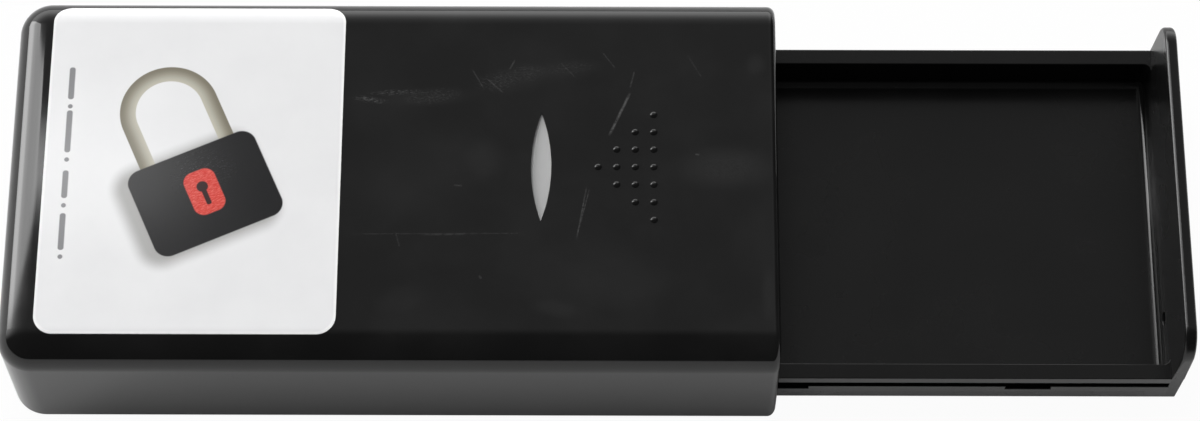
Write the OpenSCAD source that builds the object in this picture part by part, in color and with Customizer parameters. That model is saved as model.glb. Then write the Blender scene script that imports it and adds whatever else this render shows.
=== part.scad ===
// Key holder box: a sleeve that clings to steel by two block magnets under it, and a tray with a tall
// end plate that slides out of the sleeve's open end. All sizes are in millimetres.
//
// X runs along the box towards the open end, Y runs across it and Z points up. The origin lies on the
// plane of the magnets' faces, under the middle of the box with its tray drawn out.

/* [Sleeve] */
// Length of the sleeve, closed end to mouth
sleeve_length = 114; // [90:0.5:150]
// Width of the sleeve
sleeve_width = 59.2; // [50:0.2:80]
// Height of the sleeve, without the magnet frames under it
sleeve_height = 23.2; // [19:0.2:32]
// Thickness of the side walls and of the top
sleeve_wall = 2; // [1.6:0.1:2.6]
// Thickness of the sleeve's floor
sleeve_floor = 1.6; // [1.4:0.1:2.4]
// Thickness of the closed end
sleeve_end_wall = 2.2; // [1.6:0.1:4]
// Radius of the upper edges and of the closed end's corners
sleeve_edge_radius = 5; // [3.5:0.1:7]
// Radius of the lower edges
sleeve_foot_radius = 1; // [0.4:0.1:1.4]
// Radius of the outer edge round the mouth
mouth_edge_radius = 1.2; // [0.4:0.1:1.8]
// Radius of the inside corners at the sleeve's floor
sleeve_inner_foot_radius = 0.6; // [0.3:0.1:1]

/* [Thumb scoop] */
// Distance from the mouth back to the nearest point of the scoop
scoop_from_mouth = 33.5; // [28:0.1:45]
// Length of the scoop along the box
scoop_length = 3; // [2.5:0.05:5]
// Depth of the scoop at the wall that the thumb pushes on
scoop_depth = 0.7; // [0.4:0.1:1.1]
// Depth of the scoop at its shallow side
scoop_shallow_depth = 0.2; // [0.1:0.05:0.4]
// Radius of the scoop's two curved sides, seen from above
scoop_side_radius = 26.5; // [18:0.5:36]
// Distance that scoop and grip dots lie off the sleeve's middle line
grip_offset = 1.1; // [-4:0.1:4]

/* [Grip dots] */
// Distance from the mouth back to the single dot at the point of the triangle
dots_from_mouth = 26.6; // [20:0.1:27]
// Distance between neighbouring columns of dots
dot_column_pitch = 2.74; // [2:0.02:3.2]
// Distance between neighbouring dots in a column
dot_row_pitch = 2.84; // [2:0.02:3.2]
// Number of columns; each has two dots more than the one before
dot_columns = 4; // [2:1:5]
// Diameter of a dot at the surface
dot_diameter = 1.1; // [0.6:0.05:1.6]
// Height of a dot
dot_height = 0.35; // [0.2:0.05:0.45]

/* [Tray] */
// Gap between tray and sleeve at each side
side_gap = 0.5; // [0.2:0.05:0.6]
// Gap between tray and sleeve above and below
height_gap = 0.3; // [0.2:0.05:0.5]
// Gap between the tray's rear wall and the closed end when the tray is shut
rear_gap = 0.5; // [0.3:0.1:2]
// Height of the tray's low walls
tray_wall_height = 8.1; // [6:0.1:10]
// Width of the tray's rim
tray_wall = 2.4; // [1.8:0.1:3]
// Thickness of the tray's floor
tray_floor = 1.5; // [1:0.1:2.2]
// Radius of the tray's lower edges
tray_foot_radius = 1.2; // [0.5:0.1:1.4]
// Radius of the inside corners at the tray's floor
tray_well_radius = 1.2; // [0.5:0.1:2]
// Radius of the tray's rear corners, seen from above
tray_rear_radius = 2; // [0.8:0.1:4]
// Distance the tray stands out of the sleeve as drawn
tray_out = 60.6; // [5:0.1:68]

/* [End plate] */
// Thickness of the end plate
plate_thickness = 1.8; // [1.4:0.1:3]
// Angle that the end plate leans outwards
plate_rake = 3; // [0:0.5:6]
// Roundness of the plate's upper corners beyond that of the sleeve's inside corners
plate_corner_extra = 1; // [0:0.1:3]
// Radius of the fillet between tray floor and end plate
plate_fillet = 1.4; // [0.5:0.1:2]
// Diameter of the tether hole through the end plate
tether_diameter = 2.1; // [1:0.1:4]
// Distance of the tether hole from the near edge of the end plate
tether_from_edge = 10.8; // [5:0.1:20]
// Distance from the tray's floor up to the tether hole's middle
tether_height = 3.6; // [3.2:0.1:10]

/* [Runners] */
// Height of the rail along the top of the tray's outer sides
rail_height = 1.8; // [1:0.1:2.2]
// Height of the groove under the rail
groove_height = 1.4; // [1.1:0.1:2]
// Depth of the groove
groove_depth = 0.8; // [0.5:0.05:1.2]
// Distance from the end plate's outer face to the first notch
notch_first = 19.9; // [10:0.1:25]
// Length of a notch
notch_length = 6.7; // [4:0.1:10]
// Distance from one notch to the next
notch_pitch = 36; // [20:0.1:36]
// Number of notches
notch_count = 3; // [1:1:3]
// Depth of a notch below the groove
notch_drop = 1; // [0.4:0.1:1.6]
// Gap above and below the pip that rides in each groove
pip_gap = 0.15; // [0.1:0.01:0.2]
// Gap between the pip's end and the bottom of the groove
pip_end_gap = 0.35; // [0.2:0.05:0.45]
// Gap between each pip and the front end of its groove when the tray is shut
pip_front_gap = 0.3; // [0.2:0.1:2]
// Distance the hold-down ribs stand out from the sleeve's side walls
rib_reach = 1.6; // [1:0.1:2]
// Height of the hold-down ribs
rib_height = 1.5; // [1:0.1:2.5]
// Distance from the mouth back to the hold-down ribs
rib_from_mouth = 4.5; // [4:0.1:12]

/* [Magnets] */
// Length of a magnet along the box
magnet_length = 22; // [12:0.5:30]
// Width of a magnet across the box
magnet_width = 40; // [20:0.5:44]
// Thickness of a magnet
magnet_thickness = 3; // [2:0.1:6]
// Distance between the middles of the two magnets
magnet_spacing = 66; // [44:0.5:74]
// Thickness of the steel backing plate
backing_thickness = 1; // [0.5:0.1:1.5]
// Thickness of the bonding tape
tape_thickness = 0.3; // [0.2:0.05:0.5]
// Distance the magnets stand out below their frames
magnet_proud = 0.3; // [0.1:0.05:0.6]
// Depth of each pocket in the sleeve's floor
pocket_recess = 0.6; // [0.2:0.1:0.8]
// Thickness of the frame round each magnet
frame_wall = 1.8; // [1:0.1:3]
// Corner radius of the frames
frame_radius = 2; // [0.8:0.1:2.5]
// Gap between a magnet and its frame
frame_gap = 0.2; // [0.1:0.05:0.4]

/* [Label] */
// Length of the label along the box
label_length = 43.8; // [20:0.2:50]
// Distance from the closed end to the label
label_from_end = 5.7; // [5:0.1:12]
// Angle that the label follows round the near upper edge
label_near_wrap = 12; // [2:1:70]
// Angle that the label follows round the far upper edge
label_far_wrap = 36; // [2:1:70]
// Corner radius of the label
label_radius = 2.8; // [0.5:0.1:6]
// Thickness of the label
label_thickness = 0.15; // [0.1:0.05:0.3]

/* [Hidden] */
$fn = 64;
// Amount that a cut runs past the surface it opens
past = 1;

// Places along X, with the middle of the drawn-out box at 0
mouth_x = (sleeve_length - tray_out) / 2;
closed_x = mouth_x - sleeve_length;
sleeve_x = (mouth_x + closed_x) / 2;
plate_x = mouth_x + tray_out;
tray_length = sleeve_length - sleeve_end_wall - rear_gap;
tray_rear_x = plate_x - tray_length;
plate_inner_x = plate_x - plate_thickness;

// Heights
frame_drop = tape_thickness + backing_thickness + magnet_thickness - pocket_recess - magnet_proud;
sleeve_z = frame_drop + magnet_proud;
floor_top_z = sleeve_z + sleeve_floor;
ceiling_z = sleeve_z + sleeve_height - sleeve_wall;
top_z = sleeve_z + sleeve_height;
tray_z = floor_top_z + height_gap;
tray_floor_z = tray_z + tray_floor;
rim_z = tray_z + tray_wall_height;
groove_top_z = rim_z - rail_height;
groove_z = groove_top_z - groove_height;
plate_top_z = ceiling_z - height_gap;
pocket_z = sleeve_z + pocket_recess;
tether_z = tray_floor_z + tether_height;

// Widths
cavity_width = sleeve_width - 2 * sleeve_wall;
cavity_radius = sleeve_edge_radius - sleeve_wall;
tray_width = cavity_width - 2 * side_gap;
well_width = tray_width - 2 * tray_wall;
plate_radius = cavity_radius + plate_corner_extra;

// A pip, and where it sits behind the mouth: just behind the front end of its groove
pip_diameter = groove_height - 2 * pip_gap;
groove_end_x = raked_x(plate_inner_x, groove_z);
pip_x = mouth_x - (plate_x - groove_end_x) - pip_front_gap - pip_diameter / 2;

// Where a raked face that passes through x at the plate's top has come to at height z
function raked_x(x, z) = x - (plate_top_z - z) * tan(plate_rake);

// Rectangle between two corners; the radii go bottom left, bottom right, top right, top left
module round_rect(low, high, radii) {
    rbl = radii[0];
    rbr = radii[1];
    rtr = radii[2];
    rtl = radii[3];
    polygon([[low.x + rbl, low.y], [high.x - rbr, low.y], [high.x, low.y + rbr], [high.x, high.y - rtr],
             [high.x - rtr, high.y], [low.x + rtl, high.y], [low.x, high.y - rtl], [low.x, low.y + rbl]]);
    translate([low.x + rbl, low.y + rbl]) circle(r = rbl);
    translate([high.x - rbr, low.y + rbr]) circle(r = rbr);
    translate([high.x - rtr, high.y - rtr]) circle(r = rtr);
    translate([low.x + rtl, high.y - rtl]) circle(r = rtl);
}

// Extrudes a drawing of Y and Z from one X to another
module along_x(from, to)
    translate([from, 0, 0]) rotate([90, 0, 90]) linear_extrude(to - from) children();

// Extrudes a drawing of X and Z over a width across the box, centred on the middle line
module across_y(width)
    translate([0, width / 2, 0]) rotate([90, 0, 0]) linear_extrude(width) children();

// Extrudes a drawing of X and Y from one height to another
module up_z(from, to)
    translate([0, 0, from]) linear_extrude(to - from) children();

// The sleeve's outer shape. Slabs, edge bars and corner balls meet where their surfaces are tangent.
module sleeve_outside() {
    r = sleeve_edge_radius;
    half = sleeve_width / 2;
    foot = sleeve_foot_radius;
    across_y(sleeve_width - 2 * r)
        round_rect([closed_x, sleeve_z], [mouth_x, top_z], [foot, foot, mouth_edge_radius, r]);
    intersection() {
        up_z(sleeve_z, top_z - r)
            round_rect([closed_x, -half], [mouth_x, half], [r, mouth_edge_radius, mouth_edge_radius, r]);
        along_x(closed_x, mouth_x)
            round_rect([-half, sleeve_z], [half, top_z], [foot, foot, foot, foot]);
        across_y(sleeve_width)
            round_rect([closed_x, sleeve_z], [mouth_x, top_z], [foot, foot, foot, foot]);
    }
    for (side = [-1, 1]) translate([closed_x + r, side * (half - r), top_z - r]) {
        sphere(r = r);
        rotate([0, 90, 0]) rotate_extrude() edge_bar_profile(mouth_x - closed_x - r, r);
    }
}

// Half section of an edge bar: a round bar with its far end's edge rounded
module edge_bar_profile(length, radius) {
    m = mouth_edge_radius;
    polygon([[0, 0], [radius, 0], [radius, length - m], [radius - m, length], [0, length]]);
    translate([radius - m, length - m]) circle(r = m);
}

// The space inside the sleeve
module sleeve_cavity() {
    half = cavity_width / 2;
    foot = sleeve_inner_foot_radius;
    along_x(closed_x + sleeve_end_wall, mouth_x + past)
        round_rect([-half, floor_top_z], [half, ceiling_z], [foot, foot, cavity_radius, cavity_radius]);
}

// An upright post that rounds one side of the thumb scoop
module scoop_side(middle_x) {
    translate([middle_x, grip_offset, top_z - 2 * scoop_depth])
        cylinder(h = 3 * scoop_depth, r = scoop_side_radius, $fn = 180);
}

// The thumb scoop: a leaf between two curved sides, with a floor that slopes down to its deep side
module thumb_scoop() {
    shallow_x = mouth_x - scoop_from_mouth;
    slope = atan((scoop_depth - scoop_shallow_depth) / scoop_length);
    reach = 2 * scoop_side_radius;
    intersection() {
        scoop_side(shallow_x - scoop_side_radius);
        scoop_side(shallow_x - scoop_length + scoop_side_radius);
        translate([shallow_x, grip_offset, top_z - scoop_shallow_depth])
            rotate([0, -slope, 0])
            translate([-reach, -reach, 0])
            cube([2 * reach, 2 * reach, reach]);
    }
}

// Raised dots in a triangle that points to the scoop
module grip_dots() {
    ball = (pow(dot_diameter / 2, 2) + pow(dot_height, 2)) / (2 * dot_height);
    for (column = [0 : dot_columns - 1])
        for (row = [-column : column])
            translate([mouth_x - dots_from_mouth + column * dot_column_pitch, grip_offset + row * dot_row_pitch,
                       top_z + dot_height - ball])
                sphere(r = ball, $fn = 24);
}

// Pips that ride in the tray's grooves, one on each side wall
module guide_pips() {
    length = side_gap + groove_depth - pip_end_gap;
    for (side = [-1, 1])
        translate([pip_x, side * (cavity_width / 2 - length), groove_z + groove_height / 2])
            rotate([-side * 90, 0, 0])
            cylinder(h = length + sleeve_wall / 2, d = pip_diameter);
}

// Ribs along the side walls, just above the tray's rim, that keep the tray level
module hold_down_ribs() {
    inside = cavity_width / 2;
    bite = sleeve_wall / 4;
    for (side = [-1, 1])
        along_x(closed_x + sleeve_end_wall - bite, mouth_x - rib_from_mouth)
            translate([side * (inside + (bite - rib_reach) / 2), rim_z + height_gap + rib_height / 2])
            square([rib_reach + bite, rib_height], center = true);
}

// Places its children at both magnets, or at the one on the given side: 1 is next to the mouth
module at_magnets(sides = [-1, 1])
    for (side = sides) translate([sleeve_x + side * magnet_spacing / 2, 0, 0]) children();

// Drawing of a rectangle centred on the origin, with one radius
module centred_rect(length, width, radius)
    round_rect([-length / 2, -width / 2], [length / 2, width / 2], [radius, radius, radius, radius]);

// The block of a frame under the sleeve, before its pocket is cut
module frame_block() {
    extra = 2 * (frame_gap + frame_wall);
    up_z(magnet_proud, sleeve_z + sleeve_floor / 2)
        centred_rect(magnet_length + extra, magnet_width + extra, frame_radius);
}

// The pocket for one magnet, its backing plate and its tape
module magnet_pocket() {
    up_z(-past, pocket_z)
        square([magnet_length + 2 * frame_gap, magnet_width + 2 * frame_gap], center = true);
}

// The sleeve: one moulding with frames, ribs, pips, scoop and dots
module case_sleeve() {
    color("#17181a") {
        difference() {
            union() {
                sleeve_outside();
                at_magnets() frame_block();
                grip_dots();
            }
            sleeve_cavity();
            thumb_scoop();
            at_magnets() magnet_pocket();
        }
        guide_pips();
        hold_down_ribs();
    }
}

// Outline of the end plate, in Y and Z
module plate_outline() {
    half = tray_width / 2;
    foot = tray_foot_radius;
    round_rect([-half, tray_z], [half, plate_top_z], [foot, foot, plate_radius, plate_radius]);
}

// Drawing in X and Z of all that lies behind a raked face, which passes through x at the plate's top
module behind_raked(x, low_z, high_z)
    polygon([[tray_rear_x - past, low_z], [raked_x(x, low_z), low_z], [raked_x(x, high_z), high_z],
             [tray_rear_x - past, high_z]]);

// The end plate, which leans outwards
module end_plate() {
    intersection() {
        along_x(tray_rear_x, plate_x + past) plate_outline();
        across_y(tray_width + past) difference() {
            behind_raked(plate_x, tray_z - past, plate_top_z + past);
            behind_raked(plate_inner_x, tray_z - 2 * past, plate_top_z + 2 * past);
        }
    }
}

// The tray's outer block, up to its rim
module tray_block() {
    half = tray_width / 2;
    foot = tray_foot_radius;
    rear = tray_rear_radius;
    intersection() {
        along_x(tray_rear_x, plate_x)
            round_rect([-half, tray_z], [half, rim_z + foot], [foot, foot, foot, foot]);
        up_z(tray_z, rim_z)
            round_rect([tray_rear_x, -half], [plate_x + rear, half], [rear, rear, rear, rear]);
        across_y(tray_width)
            round_rect([tray_rear_x, tray_z], [plate_x + foot, rim_z + foot], [foot, foot, foot, foot]);
        across_y(tray_width + past) behind_raked(plate_x, tray_z - past, rim_z + past);
    }
}

// The tray's well, with rounded corners all round its floor and a fillet at the raked end plate
module tray_well() {
    half = well_width / 2;
    rear_x = tray_rear_x + tray_wall;
    top = rim_z + past;
    r = tray_well_radius;
    fillet_z = tray_floor_z + plate_fillet;
    fillet_x = raked_x(plate_inner_x, fillet_z) - plate_fillet / cos(plate_rake);
    intersection() {
        along_x(rear_x, plate_x)
            round_rect([-half, tray_floor_z], [half, top + r], [r, r, r, r]);
        up_z(tray_floor_z, top)
            round_rect([rear_x, -half], [raked_x(plate_inner_x, rim_z), half], [r, r, r, r]);
        across_y(tray_width) {
            polygon([[rear_x + r, tray_floor_z], [fillet_x, tray_floor_z],
                     [fillet_x, fillet_z] + plate_fillet * [cos(plate_rake), -sin(plate_rake)],
                     [raked_x(plate_inner_x, top), top], [rear_x, top], [rear_x, tray_floor_z + r]]);
            translate([rear_x + r, tray_floor_z + r]) circle(r = r);
            translate([fillet_x, fillet_z]) circle(r = plate_fillet);
        }
    }
}

// Groove with its notches, along both outer sides of the tray
module side_grooves() {
    last_notch = notch_first + (notch_count - 1) * notch_pitch + notch_length;
    start = plate_x - last_notch;
    for (side = [-1, 1]) translate([0, side * tray_width / 2, 0]) {
        translate([start, -groove_depth, groove_z])
            cube([groove_end_x - start, 2 * groove_depth, groove_height]);
        for (i = [0 : notch_count - 1])
            translate([plate_x - notch_first - i * notch_pitch - notch_length, -groove_depth, groove_z - notch_drop])
                cube([notch_length, 2 * groove_depth, notch_drop + groove_height / 2]);
    }
}

// The tray and its end plate: one moulding
module slide_tray() {
    color("#1b1c1e")
    difference() {
        union() {
            difference() {
                tray_block();
                tray_well();
            }
            end_plate();
        }
        side_grooves();
        translate([raked_x(plate_inner_x, tether_z) - past, tether_from_edge - tray_width / 2, tether_z])
            rotate([0, 90, 0])
            cylinder(h = plate_thickness + 2 * past, d = tether_diameter);
    }
}

// Distance from the middle line at which an angle round an upper edge is reached
function wrap_y(angle) = sleeve_width / 2 - sleeve_edge_radius * (1 - sin(angle));

// Section of the label in Y and Z: flat on the top and round over both upper edges
module label_section() {
    r = sleeve_edge_radius;
    flat = sleeve_width / 2 - r;
    translate([-flat, top_z])
        square([2 * flat, label_thickness]);
    for (side = [-1, 1]) intersection() {
        translate([side * flat, top_z - r]) difference() {
            circle(r = r + label_thickness);
            circle(r = r);
        }
        translate([side * (flat + r), top_z]) square(2 * r, center = true);
    }
}

// The label stuck over the sleeve's top and a little way round both upper edges
module sleeve_label() {
    start = closed_x + label_from_end;
    r = label_radius;
    color("#e9e9ea")
    intersection() {
        along_x(start, start + label_length) label_section();
        up_z(top_z - sleeve_edge_radius, top_z + past)
            round_rect([start, -wrap_y(label_near_wrap)], [start + label_length, wrap_y(label_far_wrap)],
                       [r, r, r, r]);
    }
}

// A flat block of the magnets' length and width between two heights
module magnet_slab(from, to)
    up_z(from, to) square([magnet_length, magnet_width], center = true);

module magnet_block()
    color("#3a3b3e") magnet_slab(0, magnet_thickness);

module backing_plate()
    color("#9a9da1") magnet_slab(magnet_thickness, magnet_thickness + backing_thickness);

module bonding_tape()
    color("#d9d4c4") magnet_slab(magnet_thickness + backing_thickness, pocket_z);

case_sleeve();
slide_tray();
sleeve_label();
at_magnets([1]) magnet_block();  // front_magnet
at_magnets([-1]) magnet_block();  // rear_magnet
at_magnets([1]) backing_plate();  // front_backing_plate
at_magnets([-1]) backing_plate();  // rear_backing_plate
at_magnets([1]) bonding_tape();  // front_bonding_tape
at_magnets([-1]) bonding_tape();  // rear_bonding_tape
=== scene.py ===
"""Looks of the key box: its finishes, broken edges, printed label, floor, light and camera."""
import math

import bmesh
import bpy
from mathutils import Matrix, Vector


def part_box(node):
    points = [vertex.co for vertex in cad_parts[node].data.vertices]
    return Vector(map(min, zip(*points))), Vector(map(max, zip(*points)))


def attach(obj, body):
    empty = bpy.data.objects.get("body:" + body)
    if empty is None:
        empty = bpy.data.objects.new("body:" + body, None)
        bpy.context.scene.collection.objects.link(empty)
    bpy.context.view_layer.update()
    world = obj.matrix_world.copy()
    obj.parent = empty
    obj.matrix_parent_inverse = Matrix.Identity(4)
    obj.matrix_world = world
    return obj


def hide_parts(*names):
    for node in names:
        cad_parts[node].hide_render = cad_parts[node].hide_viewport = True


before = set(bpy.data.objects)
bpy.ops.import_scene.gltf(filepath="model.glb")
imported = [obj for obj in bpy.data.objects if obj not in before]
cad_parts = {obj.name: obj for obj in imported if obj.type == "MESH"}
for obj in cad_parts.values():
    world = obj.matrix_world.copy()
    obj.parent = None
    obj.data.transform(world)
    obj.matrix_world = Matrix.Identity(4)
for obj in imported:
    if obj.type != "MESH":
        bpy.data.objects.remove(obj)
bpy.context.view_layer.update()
MM = 0.001

# ---------------------------------------------------------------- shader maths


class Sock:
    """An output socket that takes part in Python sums; each sum adds its Math node."""

    def __init__(self, kit, socket):
        self.kit, self.socket = kit, socket

    def __add__(self, other):
        return self.kit.math("ADD", self, other)

    def __sub__(self, other):
        return self.kit.math("SUBTRACT", self, other)

    def __mul__(self, other):
        return self.kit.math("MULTIPLY", self, other)

    def __truediv__(self, other):
        return self.kit.math("DIVIDE", self, other)

    def __rsub__(self, other):
        return self.kit.math("SUBTRACT", other, self)

    def __neg__(self):
        return self.kit.math("MULTIPLY", self, -1.0)

    def __abs__(self):
        return self.kit.math("ABSOLUTE", self)


class Kit:
    """Adds nodes to one shader tree."""

    def __init__(self, tree):
        self.tree = tree
        self.tree.nodes.clear()

    def node(self, kind, settings=None, inputs=None, out=0):
        """Adds a node, sets it up, fills its sockets and returns one of its outputs."""
        made = self.tree.nodes.new(kind)
        for name, value in (settings or {}).items():
            if name == "stops":
                self._set_stops(made.color_ramp, value)
            else:
                setattr(made, name, value)
        for name, value in (inputs or {}).items():
            self.link(value, made.inputs[name])
        return Sock(self, made.outputs[out]) if made.outputs else made

    @staticmethod
    def _set_stops(ramp, stops):
        while len(ramp.elements) < len(stops):
            ramp.elements.new(1.0)
        for element, (position, colour) in zip(ramp.elements, stops):
            element.position = position
            element.color = (*colour, 1.0)

    def link(self, value, socket):
        if isinstance(value, Sock):
            self.tree.links.new(value.socket, socket)
        elif isinstance(value, (tuple, list)) and socket.type == "RGBA" and len(value) == 3:
            socket.default_value = (*value, 1.0)
        else:
            socket.default_value = value

    def math(self, operation, *values):
        return self.node("ShaderNodeMath", {"operation": operation}, dict(enumerate(values)))

    def vector(self, operation, *values):
        return self.node("ShaderNodeVectorMath", {"operation": operation}, dict(enumerate(values)))

    def smallest(self, first, *others):
        for other in others:
            first = self.math("MINIMUM", first, other)
        return first

    def largest(self, first, *others):
        for other in others:
            first = self.math("MAXIMUM", first, other)
        return first

    def xyz(self, x, y, z):
        return self.node("ShaderNodeCombineXYZ", inputs={"X": x, "Y": y, "Z": z})

    def parts(self, vector):
        return [self.node("ShaderNodeSeparateXYZ", inputs={"Vector": vector}, out=i) for i in range(3)]

    def step(self, value, low, high):
        """0 where value is at low, 1 where it is at high, smooth between."""
        return self.node("ShaderNodeMapRange", {"interpolation_type": "SMOOTHSTEP"},
                         {"Value": value, "From Min": low, "From Max": high})

    def ramp(self, value, *stops):
        """A grey level that follows a value through (position, level) stops."""
        greys = [(position, (level,) * 3) for position, level in stops]
        return self.node("ShaderNodeValToRGB", {"stops": greys}, {"Fac": value})

    def blend(self, share, first, second):
        """Mix of two colours."""
        sockets = {0: share, 6: first, 7: second}
        return self.node("ShaderNodeMix", {"data_type": "RGBA"}, sockets, out=2)

    def noise(self, where, scale, detail=2.0, roughness=0.5):
        return self.node("ShaderNodeTexNoise", inputs={
            "Vector": where, "Scale": scale, "Detail": detail, "Roughness": roughness})

    def stretched(self, where, factors):
        return self.vector("MULTIPLY", where, factors)

    def place(self):
        """Object coordinates in millimetres."""
        where = self.node("ShaderNodeTexCoord", out=3)
        return self.stretched(where, (1.0 / MM,) * 3)

    def surface(self, shader, output="ShaderNodeOutputMaterial"):
        self.node(output, inputs={"Surface": shader})


def material(name, paint):
    """A node material; paint(kit) returns its shader."""
    made = bpy.data.materials.new(name)
    made.use_nodes = True
    kit = Kit(made.node_tree)
    kit.surface(paint(kit))
    return made


def principled(kit, **sockets):
    names = {key: key.replace("_", " ").title().replace("Ior", "IOR") for key in sockets}
    return kit.node("ShaderNodeBsdfPrincipled", inputs={names[k]: v for k, v in sockets.items()})


def bumped(kit, height, distance, strength):
    return kit.node("ShaderNodeBump", inputs={"Height": height, "Distance": distance, "Strength": strength})


# ---------------------------------------------------------------- sizes, in millimetres

SLEEVE_LOW, SLEEVE_HIGH = (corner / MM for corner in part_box("case_sleeve"))
TRAY_LOW, TRAY_HIGH = (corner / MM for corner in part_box("slide_tray"))
LABEL_LOW, LABEL_HIGH = (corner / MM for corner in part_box("sleeve_label"))
PLACES = ("front", "rear")
MAGNET_BOXES = [tuple(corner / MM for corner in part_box(f"{place}_magnet")) for place in PLACES]

# sleeve: its box reaches from the magnets' frames to the tops of the dots
DOT_HEIGHT = 0.35
FRAME_DROP = 3.4
TOP_Z = SLEEVE_HIGH.z - DOT_HEIGHT
BOTTOM_Z = SLEEVE_LOW.z + FRAME_DROP
MOUTH_X = SLEEVE_HIGH.x
CLOSED_X = SLEEVE_LOW.x
HALF_WIDTH = SLEEVE_HIGH.y
EDGE_RADIUS = 5.0
FOOT_RADIUS = 1.0
MOUTH_RADIUS = 1.2
INNER_MOUTH_RADIUS = 0.35
WALL = 2.0
FLOOR = 1.6
END_WALL = 2.2
INNER_FOOT_RADIUS = 0.6
GRIP_Y = 1.1
SCOOP_X = MOUTH_X - 35.0
DOTS_X = MOUTH_X - 26.6
# underside of the hold-down ribs, just above the tray's rims
RIB_Z = 14.0

TRAY_FLOOR = 1.5

# ---------------------------------------------------------------- finishes


def turned(x, y, middle, degrees):
    """Coordinates in the plane about a middle, turned anticlockwise."""
    cos, sin = math.cos(math.radians(degrees)), math.sin(math.radians(degrees))
    x, y = x - middle[0], y - middle[1]
    return x * cos + y * sin, y * cos - x * sin


def length(kit, x, y):
    return kit.math("SQRT", x * x + y * y)


def rounded(kit, x, y, half_x, half_y, radius):
    """Distance to a rounded rectangle about the origin, below 0 inside."""
    outside_x = kit.largest(abs(x) - (half_x - radius), 0.0)
    outside_y = kit.largest(abs(y) - (half_y - radius), 0.0)
    return length(kit, outside_x, outside_y) - radius


def patch(kit, x, y, middle, half_x, half_y, degrees=0.0):
    """A soft oval: 1 at its middle, 0 from its rim on."""
    along, across = turned(x, y, middle, degrees)
    return kit.step(length(kit, along / half_x, across / half_y), 1.0, 0.2)


def streak(kit, x, y, start, end, width):
    """A thin line between two points that fades towards its ends."""
    run = math.hypot(end[0] - start[0], end[1] - start[1])
    middle = ((start[0] + end[0]) / 2, (start[1] + end[1]) / 2)
    degrees = math.degrees(math.atan2(end[1] - start[1], end[0] - start[0]))
    along, across = turned(x, y, middle, degrees)
    return kit.step(abs(across), width, width * 0.2) * kit.step(abs(along), run / 2, run * 0.3)


# each scratch on the sleeve's top: start, end, width in mm, and how pale it is
SCRATCHES = [
    ((5.5, 16.9), (4.8, 13.9), 0.18, 0.8), ((5.0, 13.6), (1.6, 5.9), 0.28, 1.5),
    ((-1.5, -1.7), (-3.1, -11.0), 0.16, 1.0), ((-1.1, -2.2), (-2.7, -9.0), 0.14, 0.7),
    ((-18.9, 17.4), (-16.9, 13.8), 0.15, 0.5), ((-16.8, 15.8), (-13.9, 13.1), 0.17, 0.6),
    ((-12.3, 18.8), (-13.2, 16.9), 0.2, 0.6), ((-5.6, 18.3), (-3.1, 15.5), 0.13, 0.4),
    ((0.6, 20.1), (2.7, 17.2), 0.15, 0.5), ((13.2, 19.9), (15.7, 15.5), 0.2, 0.25),
    ((-29.6, -9.2), (-28.8, -12.0), 0.17, 0.4), ((-37.6, -9.8), (-8.6, -9.6), 0.16, 0.3),
    ((-26.0, -9.9), (-18.8, -9.8), 0.2, 0.4), ((-17.2, -16.3), (-16.8, -16.9), 0.25, 0.7),
    ((-21.2, -1.9), (-19.8, -2.0), 0.22, 0.5), ((14.4, 3.2), (15.1, 3.1), 0.22, 0.6),
]
# each scuffed band on the sleeve's top: middle, half sizes in mm, turn, and how pale it is
SCUFFS = [
    ((-33.8, 12.0), (3.4, 0.7), -8, 1.5), ((-30.2, 13.2), (5.2, 0.65), 3, 1.1),
    ((-24.5, 12.6), (5.5, 1.7), 6, 0.5), ((-15.2, 15.0), (4.6, 2.4), 14, 0.42),
    ((-11.0, 16.4), (4.0, 2.0), 10, 0.36), ((-3.6, 17.4), (5.5, 1.5), 8, 0.25),
]
# each pale cloud on the sleeve's top: middle, half sizes in mm, turn, and how pale it is
CLOUDS = [
    ((19.0, 1.0), (10.0, 4.5), 0, 1.4), ((2.0, -15.5), (11.0, 7.0), -24, 0.6),
    ((-26.0, 0.0), (14.0, 10.0), 8, 0.45), ((-16.5, 2.4), (3.6, 4.8), 0, 0.7),
    ((23.6, 18.0), (2.0, 2.4), 0, 0.8), ((25.0, -19.0), (1.5, 5.5), 0, 0.8),
    ((-6.0, -21.5), (5.0, 1.8), -10, 0.7), ((-28.5, -20.0), (5.0, 3.0), 20, 0.5),
    ((-25.0, 12.4), (9.0, 2.0), 4, 0.7), ((-12.0, 15.6), (6.5, 3.0), 12, 0.7),
    ((-5.0, 17.0), (7.0, 2.2), 6, 0.5),
]


def summed(parts):
    total = parts[0]
    for part in parts[1:]:
        total = total + part
    return total


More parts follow.
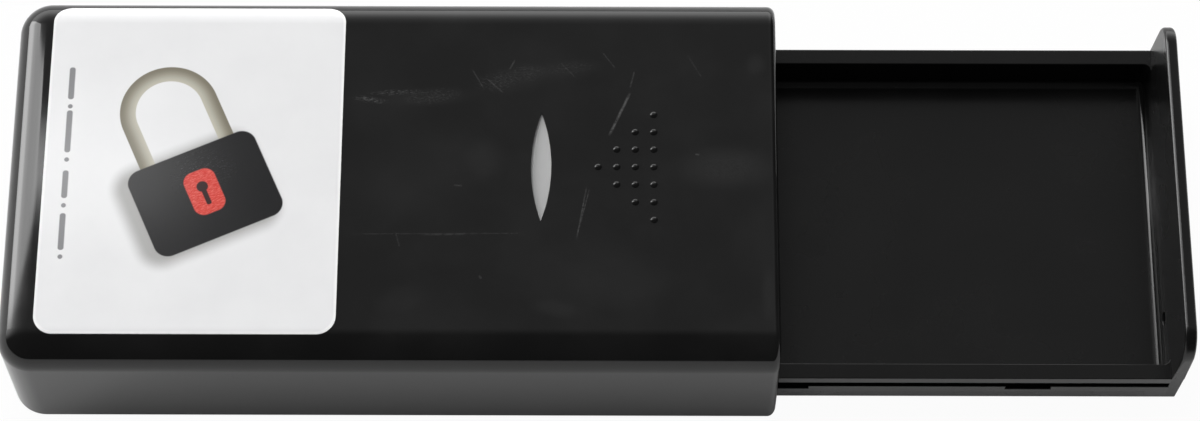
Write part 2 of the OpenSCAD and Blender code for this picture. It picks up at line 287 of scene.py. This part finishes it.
def paint_sleeve(kit):
    """Black gloss with faint pale clouds and hairline scratches, and a painted reflection: the scoop floor
    is painted pale grey.
    """
    where = kit.place()
    x, y, z = kit.parts(where)
    top = kit.step(z, TOP_Z - 0.08, TOP_Z - 0.03)
    grain = kit.noise(kit.stretched(where, (1.0, 1.6, 1.0)), 1.3, detail=6.0, roughness=0.75)
    cloud = summed([patch(kit, x, y, middle, *half, turn) * share for middle, half, turn, share in CLOUDS])
    worn = summed([streak(kit, x, y, start, end, width) * share for start, end, width, share in SCRATCHES])
    hairs = kit.noise(kit.stretched(where, (0.9, 2.6, 1.0)), 2.2, detail=5.0, roughness=0.8)
    rubbed = summed([patch(kit, x, y, middle, *half, turn) * share for middle, half, turn, share in SCUFFS])
    haze = kit.step(kit.noise(where, 0.07, detail=4.0, roughness=0.6), 0.35, 0.75)
    below = kit.step(z, TOP_Z - 0.1, TOP_Z - 0.18) * kit.step(z, TOP_Z - 1.2, TOP_Z - 1.0)
    scoop = kit.step(abs(x - SCOOP_X), 2.2, 1.8) * kit.step(abs(y - GRIP_Y), 10.5, 10.0) * below
    marks = worn * kit.step(grain, 0.3, 0.7) * 0.06 + rubbed * kit.step(hairs, 0.48, 0.66) * 0.06
    level = haze * 0.004 + 0.005 + top * (cloud * (grain * 1.2 + 0.4) * 0.0065 + marks)
    # painted reflection: the scoop floor's colour is raised to pale grey to stand in for the lamp's glint on
    # it
    base = kit.largest(level, scoop * 0.3)
    return principled(kit, base_color=base, roughness=haze * 0.03 + 0.04 + scoop * 0.1)


def paint_tray(kit):
    """Black gloss, a little duller on the floor, on the feet of the side walls and on the end plate."""
    where = kit.place()
    x, _, z = kit.parts(where)
    haze = kit.noise(where, 0.08, detail=3.0)
    floor_z, top_z, end_x = TRAY_LOW.z + TRAY_FLOOR, TRAY_HIGH.z, TRAY_HIGH.x
    inside_floor = kit.step(z, floor_z + 0.03, floor_z + 0.01)
    side_foot = kit.step(z, floor_z + 2.0, floor_z + 1.4) * kit.step(x, end_x - 5.0, end_x - 6.0)
    plate = kit.step(x, end_x - 2.6, end_x - 2.4) * kit.step(z, top_z - 0.6, top_z - 0.9)
    matt = kit.largest(inside_floor, side_foot, plate) * 0.1
    return principled(kit, base_color=haze * 0.003 + 0.002, roughness=haze * 0.1 + 0.12 + matt)


# the label's print, in mm: the padlock, then short grey marks down the left margin, each
# the y of its middle and its half length, with dots between them
LOCK_MIDDLE = (-57.6, -3.4)
LOCK_TURN = 24.0
LOCK_HALF = (10.0, 7.4)
LOCK_SHADOW_SHIFT = (-1.2, -0.8)
BOW_RADIUS = 6.2
BOW_Y = 14.5
MARGIN_X = -78.3
MARGIN_MARKS = [(14.5, 2.6), (6.6, 3.4), (-2.0, 2.2), (-9.6, 2.9)]
MARGIN_DOTS = [10.7, 2.0, -5.4, -13.6]


def paint_label_card(kit, x, y, soft):
    """White card, paler along its rim as a painted highlight of its edge."""
    middle, half = (LABEL_LOW + LABEL_HIGH) / 2, (LABEL_HIGH - LABEL_LOW) / 2
    # painted highlight: a paler band along the card's rim stands in for light caught on its edge
    rim = kit.step(rounded(kit, x - middle.x, y - middle.y, half.x, half.y, 3.0), -0.5, -0.25)
    return kit.blend(rim, kit.blend(soft, (0.80, 0.80, 0.81), (0.88, 0.88, 0.885)), (0.93, 0.93, 0.93))


def paint_padlock(kit, x, y, under):
    """A plain padlock over what is under it: shadow, steel shackle, black body and red keyhole plate."""
    u, v = turned(x, y, LOCK_MIDDLE, LOCK_TURN)
    shadow_middle = [at + shift for at, shift in zip(LOCK_MIDDLE, LOCK_SHADOW_SHIFT)]
    shadow = rounded(kit, *turned(x, y, shadow_middle, LOCK_TURN), *LOCK_HALF, 2.6)
    bow = kit.blend(kit.step(v, BOW_Y - 0.1, BOW_Y), abs(u), length(kit, u, v - BOW_Y))
    shackle = kit.step(abs(bow - BOW_RADIUS), 1.25, 1.1) * kit.step(v, 6.0, 6.5)
    steel = kit.blend(kit.step(bow, 4.8, 7.2), (0.55, 0.53, 0.45), (0.22, 0.20, 0.15))
    body = rounded(kit, u, v, *LOCK_HALF, 2.2)
    scuffs = kit.noise(kit.stretched(kit.xyz(u, v, 0.0), (1.1, 4.0, 1.0)), 1.2, detail=6.0, roughness=0.8)
    rubbed = kit.step(scuffs, 0.55, 0.8) * patch(kit, u, v, (1.0, 3.5), 6.0, 5.0)
    black = kit.blend(rubbed, (0.012, 0.012, 0.013), (0.35, 0.35, 0.36))
    plate = rounded(kit, u, v - 0.3, 2.4, 3.6, 1.6)
    red = kit.blend(kit.step(scuffs, 0.4, 0.75), (0.62, 0.035, 0.025), (0.85, 0.22, 0.18))
    hole = kit.smallest(length(kit, u, v - 1.2) - 0.85, rounded(kit, u, v + 0.6, 0.38, 1.3, 0.3))

    shown = kit.blend(kit.step(shadow, 2.2, -0.5) * 0.6, under, (0.16, 0.155, 0.14))
    shown = kit.blend(shackle, shown, steel)
    shown = kit.blend(kit.step(body, 0.1, -0.1), shown, black)
    shown = kit.blend(kit.step(plate, 0.1, -0.1), shown, red)
    return kit.blend(kit.step(hole, 0.08, -0.08), shown, (0.03, 0.01, 0.01))


def paint_label(kit):
    """The card with its padlock and its column of small grey marks."""
    where = kit.place()
    x, y, _ = kit.parts(where)
    soft = kit.noise(where, 0.12, detail=3.0)
    shown = paint_padlock(kit, x, y, paint_label_card(kit, x, y, soft))
    marks = kit.smallest(*[rounded(kit, x - MARGIN_X, y - at, 0.4, size, 0.35) for at, size in MARGIN_MARKS],
                         *[length(kit, x - MARGIN_X, y - at) - 0.32 for at in MARGIN_DOTS])
    shown = kit.blend(kit.step(marks, 0.12, -0.05) * 0.8, shown, (0.10, 0.10, 0.11))
    return principled(kit, base_color=shown, roughness=soft * 0.04 + 0.08)


def paint_ferrite(kit):
    """Dark grey ceramic with grinding marks and small pits, the pits also darkened as painted shade."""
    where = kit.place()
    ground = kit.noise(kit.stretched(where, (0.4, 6.0, 1.0)), 2.5, detail=4.0)
    pits = kit.step(kit.noise(where, 1.8, detail=3.0), 0.68, 0.74)
    # painted shade: the pits are darker in colour, besides being sunk by the bump
    base = ground * 0.02 + 0.04 - pits * 0.025
    normal = bumped(kit, ground - pits, 0.03 * MM, 0.5)
    return principled(kit, base_color=base, roughness=ground * 0.2 + 0.4, normal=normal)


def paint_steel(kit):
    """Zinc-plated sheet with rolling marks."""
    rolled = kit.noise(kit.stretched(kit.place(), (0.3, 5.0, 1.0)), 2.0, detail=4.0)
    return principled(kit, base_color=rolled * 0.1 + 0.41, metallic=1.0, roughness=rolled * 0.2 + 0.25)


def paint_tape(kit):
    """Pale foam with fine pores."""
    pores = kit.noise(kit.place(), 6.0, detail=2.0)
    base = kit.blend(pores, (0.66, 0.64, 0.57), (0.80, 0.78, 0.72))
    return principled(kit, base_color=base, roughness=0.9)


SLEEVE = material("sleeve_plastic", paint_sleeve)
TRAY = material("tray_plastic", paint_tray)
LABEL = material("label_card", paint_label)
FERRITE = material("ferrite", paint_ferrite)
STEEL = material("backing_steel", paint_steel)
TAPE = material("tape_foam", paint_tape)

# ---------------------------------------------------------------- mesh tools


def new_piece(name, points, faces):
    """An object whose mesh has its points in millimetres turned into metres."""
    mesh = bpy.data.meshes.new(name)
    mesh.from_pydata([Vector(p) * MM for p in points], [], faces)
    piece = bpy.data.objects.new(name, mesh)
    bpy.context.scene.collection.objects.link(piece)
    return piece


def tidy_normals(mesh):
    work = bmesh.new()
    work.from_mesh(mesh)
    bmesh.ops.remove_doubles(work, verts=work.verts, dist=0.0005 * MM)
    bmesh.ops.recalc_face_normals(work, faces=work.faces)
    work.to_mesh(mesh)
    work.free()


def section(low, high, radii, steps):
    """Round a rectangle from its lower left corner on; radii go as the corners do: left low,
    right low, right high, left high. Each corner has steps[i] + 1 points."""
    centres = [(low[0] + radii[0], low[1] + radii[0]), (high[0] - radii[1], low[1] + radii[1]),
               (high[0] - radii[2], high[1] - radii[2]), (low[0] + radii[3], high[1] - radii[3])]
    points = []
    for corner, (cy, cz) in enumerate(centres):
        for i in range(steps[corner] + 1):
            turn = math.pi + math.pi / 2 * (corner + i / steps[corner])
            points.append((cy + radii[corner] * math.cos(turn), cz + radii[corner] * math.sin(turn)))
    return points


def loft(name, sections):
    """A closed mesh through sections, each (x, points in y and z), with flat ends."""
    count = len(sections[0][1])
    points = [(x, y, z) for x, outline in sections for y, z in outline]
    faces = [tuple(range(count))[::-1], tuple((len(sections) - 1) * count + i for i in range(count))]
    for row in range(len(sections) - 1):
        for i in range(count):
            j = (i + 1) % count
            first, second = row * count, (row + 1) * count
            faces.append((first + i, first + j, second + j, second + i))
    piece = new_piece(name, points, faces)
    tidy_normals(piece.data)
    return piece


def arc(steps):
    """Angles from 0 to a quarter turn."""
    return [math.pi / 2 * i / steps for i in range(steps + 1)]


def prism(name, outline, low, high):
    """An upright prism over an outline in x and y."""
    count = len(outline)
    points = [(x, y, z) for z in (low, high) for x, y in outline]
    faces = [tuple(range(count))[::-1], tuple(range(count, 2 * count))]
    faces += [(i, (i + 1) % count, count + (i + 1) % count, count + i) for i in range(count)]
    piece = new_piece(name, points, faces)
    tidy_normals(piece.data)
    return piece


def block(name, low, high, radius=0.0, steps=8):
    """An upright block with rounded upright edges."""
    outline = section(low[:2], high[:2], [max(radius, 1e-4)] * 4, [steps if radius else 1] * 4)
    return prism(name, outline, low[2], high[2])


def joined(name, pieces):
    """Several meshes as one object; the pieces themselves go."""
    mesh = bpy.data.meshes.new(name)
    work = bmesh.new()
    for piece in pieces:
        work.from_mesh(piece.data)
        bpy.data.objects.remove(piece)
    work.to_mesh(mesh)
    work.free()
    whole = bpy.data.objects.new(name, mesh)
    bpy.context.scene.collection.objects.link(whole)
    return whole


def applied(piece):
    """Turns the piece's modifiers into plain mesh."""
    graph = bpy.context.evaluated_depsgraph_get()
    mesh = bpy.data.meshes.new_from_object(piece.evaluated_get(graph), depsgraph=graph)
    piece.modifiers.clear()
    piece.data = mesh
    return piece


def combine(piece, operation, tool):
    """Cuts a tool off a piece, or adds it, and removes the tool."""
    change = piece.modifiers.new("combine", "BOOLEAN")
    change.operation = operation
    change.solver = "EXACT"
    change.use_self = True
    change.object = tool
    applied(piece)
    bpy.data.objects.remove(tool)


def smooth_by_angle(piece, degrees):
    """Smooth normals, weighted by area, that break at edges steeper than the angle."""
    work = bmesh.new()
    work.from_mesh(piece.data)
    for edge in work.edges:
        edge.smooth = len(edge.link_faces) == 2 and edge.calc_face_angle(0.0) < math.radians(degrees)
    for face in work.faces:
        face.smooth = True
    work.to_mesh(piece.data)
    work.free()
    weighted = piece.modifiers.new("normals", "WEIGHTED_NORMAL")
    weighted.keep_sharp = True
    weighted.weight = 100


def merged_copy(node, name):
    """A copy of a CAD node's mesh with its loose triangles joined."""
    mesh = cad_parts[node].data.copy()
    mesh.name = name
    work = bmesh.new()
    work.from_mesh(mesh)
    bmesh.ops.remove_doubles(work, verts=work.verts, dist=0.001 * MM)
    bmesh.ops.dissolve_limit(work, angle_limit=math.radians(0.2), verts=work.verts, edges=work.edges)
    work.to_mesh(mesh)
    work.free()
    mesh.materials.clear()
    piece = bpy.data.objects.new(name, mesh)
    bpy.context.scene.collection.objects.link(piece)
    return piece


def is_sharp(edge):
    return edge.is_convex and edge.calc_face_angle(0.0) > math.radians(40.0)


def runs_on(end, edge, least):
    """Whether the edge is long, or goes on past this end of it as a sharp edge in nearly the same line."""
    if edge.calc_length() > least:
        return True
    ahead = (end.co - edge.other_vert(end).co).normalized()
    for other in end.link_edges:
        if other is not edge and is_sharp(other):
            onward = (other.other_vert(end).co - end.co).normalized()
            if onward.dot(ahead) > 0.8:
                return True
    return False


def break_edges(piece, width, above=-1.0):
    """Rounds a piece's outward edges above a height a little, where they run on for a while."""
    work = bmesh.new()
    work.from_mesh(piece.data)
    sharp = [edge for edge in work.edges if is_sharp(edge)
             and all(end.co.z > above and runs_on(end, edge, 2.5 * width) for end in edge.verts)]
    bmesh.ops.bevel(work, geom=sharp, offset=width, segments=3, profile=0.5, affect="EDGES",
                    clamp_overlap=False)
    work.to_mesh(piece.data)
    work.free()


def settle(piece, body, slot, finish, *nodes):
    """Gives a finished piece its material and lets it ride in place of its nodes."""
    applied(piece)
    piece.data.materials.clear()
    piece.data.materials.append(finish)
    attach(piece, body)
    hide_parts(*nodes)


# ---------------------------------------------------------------- sleeve


def sleeve_sections():
    """Outer sections from the closed end to the mouth, then the cavity's back to the closed end."""
    steps = [8, 8, 20, 20]
    sections = []
    for turn in arc(20):
        inset = EDGE_RADIUS * (1 - math.sin(turn))
        ahead = EDGE_RADIUS * (1 - math.cos(turn))
        rise = FOOT_RADIUS - math.sqrt(max(0.0, FOOT_RADIUS ** 2 - max(0.0, FOOT_RADIUS - ahead) ** 2))
        upper = max(EDGE_RADIUS - inset, 0.001)
        lower = min(FOOT_RADIUS, max(EDGE_RADIUS - inset, 0.001))
        sections.append((CLOSED_X + ahead, section(
            (-HALF_WIDTH + inset, BOTTOM_Z + rise), (HALF_WIDTH - inset, TOP_Z - inset),
            (lower, lower, upper, upper), steps)))
    for turn in arc(8):
        inset = MOUTH_RADIUS * (1 - math.cos(turn))
        foot = min(FOOT_RADIUS, inset)
        sections.append((MOUTH_X - MOUTH_RADIUS * (1 - math.sin(turn)), section(
            (-HALF_WIDTH + inset, BOTTOM_Z + foot), (HALF_WIDTH - inset, TOP_Z - inset),
            (FOOT_RADIUS, FOOT_RADIUS, EDGE_RADIUS - inset, EDGE_RADIUS - inset), steps)))
    inner = HALF_WIDTH - WALL
    cavity_radius = EDGE_RADIUS - WALL
    for turn in arc(4):
        outset = INNER_MOUTH_RADIUS * (1 - math.sin(turn))
        sections.append((MOUTH_X - INNER_MOUTH_RADIUS * (1 - math.cos(turn)), section(
            (-inner - outset, BOTTOM_Z + FLOOR - outset * 0.8), (inner + outset, TOP_Z - WALL + outset),
            (INNER_FOOT_RADIUS, INNER_FOOT_RADIUS, cavity_radius + outset, cavity_radius + outset), steps)))
    sections.append((CLOSED_X + END_WALL, section(
        (-inner, BOTTOM_Z + FLOOR), (inner, TOP_Z - WALL),
        (INNER_FOOT_RADIUS, INNER_FOOT_RADIUS, cavity_radius, cavity_radius), steps)))
    return sections


def scoop_cutter():
    """The thumb scoop's space: a leaf between two arcs over a floor that slopes down to the left."""
    span, side = 3.0, 26.5
    deep, shallow = 0.7, 0.2
    near_x = SCOOP_X + span / 2
    tip = math.sqrt(side ** 2 - (side - span / 2) ** 2)
    rows = 48
    middle = near_x - span / 2
    outline = []
    for turn in (1, -1):
        for row in range(rows):
            y = tip * math.sin(math.pi * (row / rows - 0.5))
            x = math.sqrt(side ** 2 - y * y) - (side - span / 2)
            outline.append((middle + turn * x, GRIP_Y + turn * y))
    cutter = prism("scoop", outline, 0.0, TOP_Z + 2.0)
    for vertex in cutter.data.vertices:
        if vertex.co.z < MM:
            share = (near_x - vertex.co.x / MM) / span
            vertex.co.z = (TOP_Z - shallow - (deep - shallow) * share) * MM
    return cutter


def under_frames():
    """Frames for the magnets, and what is cut out of them and of the sleeve's floor."""
    gap, wall, proud, recess, rooted = 0.2, 1.8, 0.3, 0.6, 0.8
    frame_corner, pocket_corner = 2.0, 0.3
    frames, pockets = [], []
    for low, high in MAGNET_BOXES:
        grow = Vector((gap + wall, gap + wall, 0.0))
        bottom, top = (low - grow)[:2] + (proud,), (high + grow)[:2] + (BOTTOM_Z + rooted,)
        frames.append(block("frame", bottom, top, frame_corner))
        grow = Vector((gap, gap, 0.0))
        bottom, top = (low - grow)[:2] + (-1.0,), (high + grow)[:2] + (BOTTOM_Z + recess,)
        pockets.append(block("pocket", bottom, top, pocket_corner, 4))
    return joined("frames", frames), joined("pockets", pockets)


def runner_parts():
    """Ribs and pips on the sleeve's inner side walls."""
    parts = []
    inner = HALF_WIDTH - WALL
    rib_height, rib_reach, rib_setback, rooted = 1.5, 1.6, 4.5, 0.5
    pip_x, pip_z, pip_radius, pip_reach = 23.31, 11.2, 0.55, 0.95
    for side in (-1, 1):
        ends = sorted((side * (inner - rib_reach), side * (inner + rooted)))
        rear = (CLOSED_X + END_WALL - rooted, ends[0], RIB_Z)
        parts.append(block("rib", rear, (MOUTH_X - rib_setback, ends[1], RIB_Z + rib_height), 0.2, 3))
        outline = [(pip_x + pip_radius * math.cos(math.tau * i / 24),
                    pip_z + pip_radius * math.sin(math.tau * i / 24)) for i in range(24)]
        pip = prism("pip", outline, 0.0, pip_reach + 1.0)
        for vertex in pip.data.vertices:
            x, z, along = vertex.co
            vertex.co = (x, side * ((inner - pip_reach) * MM + along), z)
        tidy_normals(pip.data)
        parts.append(pip)
    return joined("runners", parts)


def dots_tree():
    """Grip dots: a grid of points, cut to a triangle, with a dome on each."""
    tree = bpy.data.node_groups.new("grip_dots", "GeometryNodeTree")
    face = tree.interface
    face.new_socket("Geometry", in_out="OUTPUT", socket_type="NodeSocketGeometry")
    face.new_socket("Columns", in_out="INPUT", socket_type="NodeSocketInt")
    for name in ("Column pitch", "Row pitch", "Ball radius", "Height"):
        face.new_socket(name, in_out="INPUT", socket_type="NodeSocketFloat")
    face.new_socket("First dot", in_out="INPUT", socket_type="NodeSocketVector")
    face.new_socket("Finish", in_out="INPUT", socket_type="NodeSocketMaterial")
    kit = Kit(tree)
    given = tree.nodes.new("NodeGroupInput")
    take = {socket.name: Sock(kit, socket) for socket in given.outputs}
    rows = take["Columns"] * 2 - 1
    width = (take["Columns"] - 1) * take["Column pitch"]
    grid = kit.node("GeometryNodeMeshGrid", inputs={
        "Size X": width, "Size Y": (rows - 1) * take["Row pitch"],
        "Vertices X": take["Columns"], "Vertices Y": rows})
    x, y, _ = kit.parts(kit.node("GeometryNodeInputPosition"))
    column = x / take["Column pitch"] + (take["Columns"] - 1) / 2
    outside = kit.math("GREATER_THAN", abs(y / take["Row pitch"]) - column, 0.5)
    kept = kit.node("GeometryNodeDeleteGeometry", {"domain": "POINT"},
                    {"Geometry": grid, "Selection": outside})
    ball = kit.node("GeometryNodeMeshUVSphere", inputs={
        "Segments": 32, "Rings": 24, "Radius": take["Ball radius"]})
    sink = kit.xyz(0.0, 0.0, take["Height"] - take["Ball radius"])
    ball = kit.node("GeometryNodeTransform", inputs={"Geometry": ball, "Translation": sink})
    dots = kit.node("GeometryNodeInstanceOnPoints", inputs={"Points": kept, "Instance": ball})
    shift = kit.vector("ADD", take["First dot"], kit.xyz(width / 2, 0.0, 0.0))
    dots = kit.node("GeometryNodeTransform", inputs={"Geometry": dots, "Translation": shift})
    real = kit.node("GeometryNodeRealizeInstances", inputs={"Geometry": dots})
    finished = kit.node("GeometryNodeSetMaterial", inputs={"Geometry": real, "Material": take["Finish"]})
    kit.link(finished, tree.nodes.new("NodeGroupOutput").inputs["Geometry"])
    return tree


def grip_dots():
    """The dots as whole balls that reach down into the sleeve's top wall."""
    dot_width = 1.1
    ball = ((dot_width / 2) ** 2 + DOT_HEIGHT ** 2) / (2 * DOT_HEIGHT)
    values = {"Columns": 4, "Column pitch": 2.74 * MM, "Row pitch": 2.84 * MM, "Ball radius": ball * MM,
              "Height": DOT_HEIGHT * MM, "First dot": Vector((DOTS_X, GRIP_Y, TOP_Z)) * MM,
              "Finish": SLEEVE}
    dots = new_piece("dots", [], [])
    tree = dots.modifiers.new("dots", "NODES")
    tree.node_group = dots_tree()
    for item in tree.node_group.interface.items_tree:
        if item.in_out == "INPUT":
            tree[item.identifier] = values[item.name]
    return applied(dots)


def make_sleeve():
    sleeve = loft("sleeve_shell", sleeve_sections())
    frames, pockets = under_frames()
    combine(sleeve, "UNION", frames)
    combine(sleeve, "DIFFERENCE", pockets)
    combine(sleeve, "UNION", runner_parts())
    combine(sleeve, "DIFFERENCE", scoop_cutter())
    combine(sleeve, "UNION", grip_dots())
    smooth_by_angle(sleeve, 15.0)
    settle(sleeve, "case", "sleeve_plastic", SLEEVE, "case_sleeve")


# ---------------------------------------------------------------- tray, label and magnets


def make_tray():
    """The tray, with the end plate's outline rounded more than its other edges."""
    tray = merged_copy("slide_tray", "key_tray")
    break_edges(tray, 0.5 * MM, above=RIB_Z * MM)
    break_edges(tray, 0.15 * MM)
    smooth_by_angle(tray, 30.0)
    settle(tray, "tray", "tray_plastic", TRAY, "slide_tray")


def make_label():
    label = merged_copy("sleeve_label", "label_card")
    smooth_by_angle(label, 40.0)
    settle(label, "case", "label_card", LABEL, "sleeve_label")


def make_magnet(place):
    magnet = merged_copy(f"{place}_magnet", f"{place}_magnet_block")
    break_edges(magnet, 0.3 * MM)
    smooth_by_angle(magnet, 50.0)
    settle(magnet, "case", "ferrite", FERRITE, f"{place}_magnet")


def refinish(node, finish):
    """Gives a CAD node that is shown as it is a finish of its own."""
    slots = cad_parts[node].data.materials
    slots.clear()
    slots.append(finish)


make_sleeve()
make_tray()
make_label()
for place in PLACES:
    make_magnet(place)
    refinish(f"{place}_backing_plate", STEEL)
    refinish(f"{place}_bonding_tape", TAPE)

# ---------------------------------------------------------------- camera, floor and light

PHOTO_WIDTH = 1200
FOCAL_PX = 3580.1
ELEVATION = 66.0
DISTANCE = 0.539144
ROLL = 0.15
AIM = Vector((0.000402, -0.0002, 0.014))


def make_camera():
    data = bpy.data.cameras.new("camera")
    data.sensor_fit = "HORIZONTAL"
    data.sensor_width = 36.0
    data.lens = FOCAL_PX * data.sensor_width / PHOTO_WIDTH
    data.clip_start = 0.01
    camera = bpy.data.objects.new("camera", data)
    tilt = Matrix.Rotation(math.radians(90.0 - ELEVATION), 4, "X")
    tilt = tilt @ Matrix.Rotation(math.radians(ROLL), 4, "Z")
    back = tilt.col[2].to_3d()
    camera.matrix_world = Matrix.Translation(AIM + back * DISTANCE) @ tilt
    bpy.context.scene.collection.objects.link(camera)
    bpy.context.scene.camera = camera


def paint_floor(kit):
    """White as the camera sees it, a little bright in the gloss, and lit by the lamps otherwise."""
    seen = kit.node("ShaderNodeLightPath", out="Is Camera Ray") * 0.96
    mirrored = kit.node("ShaderNodeLightPath", out="Is Glossy Ray") * 0.08
    white = kit.node("ShaderNodeEmission", inputs={"Strength": 1.0})
    matt = kit.node("ShaderNodeBsdfDiffuse", inputs={"Color": (0.9, 0.9, 0.9)})
    return kit.node("ShaderNodeMixShader", inputs={0: seen + mirrored, 1: matt, 2: white})


def make_floor():
    half, low = 6.0, -0.02 * MM
    mesh = bpy.data.meshes.new("floor")
    corners = [(-half, -half, low), (half, -half, low), (half, half, low), (-half, half, low)]
    mesh.from_pydata(corners, [], [(0, 1, 2, 3)])
    floor = bpy.data.objects.new("floor", mesh)
    bpy.context.scene.collection.objects.link(floor)
    mesh.materials.append(material("floor", paint_floor))


def paint_world(kit):
    """Dark overhead and in front, a bright wall behind, and a tall soft light at the left."""
    direction = kit.node("ShaderNodeTexCoord", out=0)
    x, y, z = kit.parts(direction)
    # wall behind: bright near the horizon, fading upwards
    rise = kit.ramp(z, (0.0, 0.9), (0.28, 0.86), (0.45, 0.53), (0.59, 0.30), (0.72, 0.17), (0.87, 0.10),
                    (1.0, 0.06))
    wall = rise * kit.step(y, -0.1, 0.35) * kit.step(x, 0.75, 0.35) * 3.0
    # soft light at the left, a little behind the box, that leans over the box at its top
    left = -x
    front_edge = kit.step(y + left * 0.0433, 0.4085, 0.4140)
    back_limit = kit.ramp(left, (0.25, 0.422), (0.285, 0.434), (0.32, 0.440), (0.417, 0.441), (0.485, 0.443),
                          (0.58, 0.446), (0.66, 0.50), (0.75, 0.60), (0.9, 0.68))
    back_edge = kit.step(y - back_limit, 0.003, -0.003)
    top_edge = kit.step(left + y * 0.32, 0.246, 0.252)
    strength = kit.ramp(z, (0.0, 0.6), (0.14, 0.9), (0.30, 1.0), (0.42, 0.68), (0.6, 0.6), (0.8, 0.68),
                        (0.86, 0.8), (0.95, 0.5))
    lamp = front_edge * back_edge * top_edge * kit.step(z, -0.02, 0.04) * strength * 11.0
    level = kit.largest(wall, lamp) + 0.09
    shown = kit.node("ShaderNodeLightPath", out="Is Camera Ray")
    return kit.node("ShaderNodeBackground", inputs={"Strength": level * (1.0 - shown) + shown})


def make_world():
    world = bpy.data.worlds.new("studio")
    world.use_nodes = True
    kit = Kit(world.node_tree)
    kit.surface(paint_world(kit), "ShaderNodeOutputWorld")
    bpy.context.scene.world = world


def make_fill(name, place, size, power):
    """A large soft light turned to the box, which its gloss doesn't mirror."""
    data = bpy.data.lights.new(name, "AREA")
    data.size = size
    data.energy = power
    lamp = bpy.data.objects.new(name, data)
    facing = Vector(place).to_track_quat("Z", "Y").to_matrix().to_4x4()
    lamp.matrix_world = Matrix.Translation(place) @ facing
    lamp.visible_glossy = False
    bpy.context.scene.collection.objects.link(lamp)


make_world()
make_camera()
make_floor()
make_fill("top_fill", (-0.1, 0.18, 1.1), 0.4, 5.0)
make_fill("right_fill", (0.7, -0.1, 0.8), 0.7, 0.5)
make_fill("left_fill", (-0.75, 0.1, 0.45), 0.4, 1.7)

bpy.context.scene.view_settings.view_transform = "Standard"
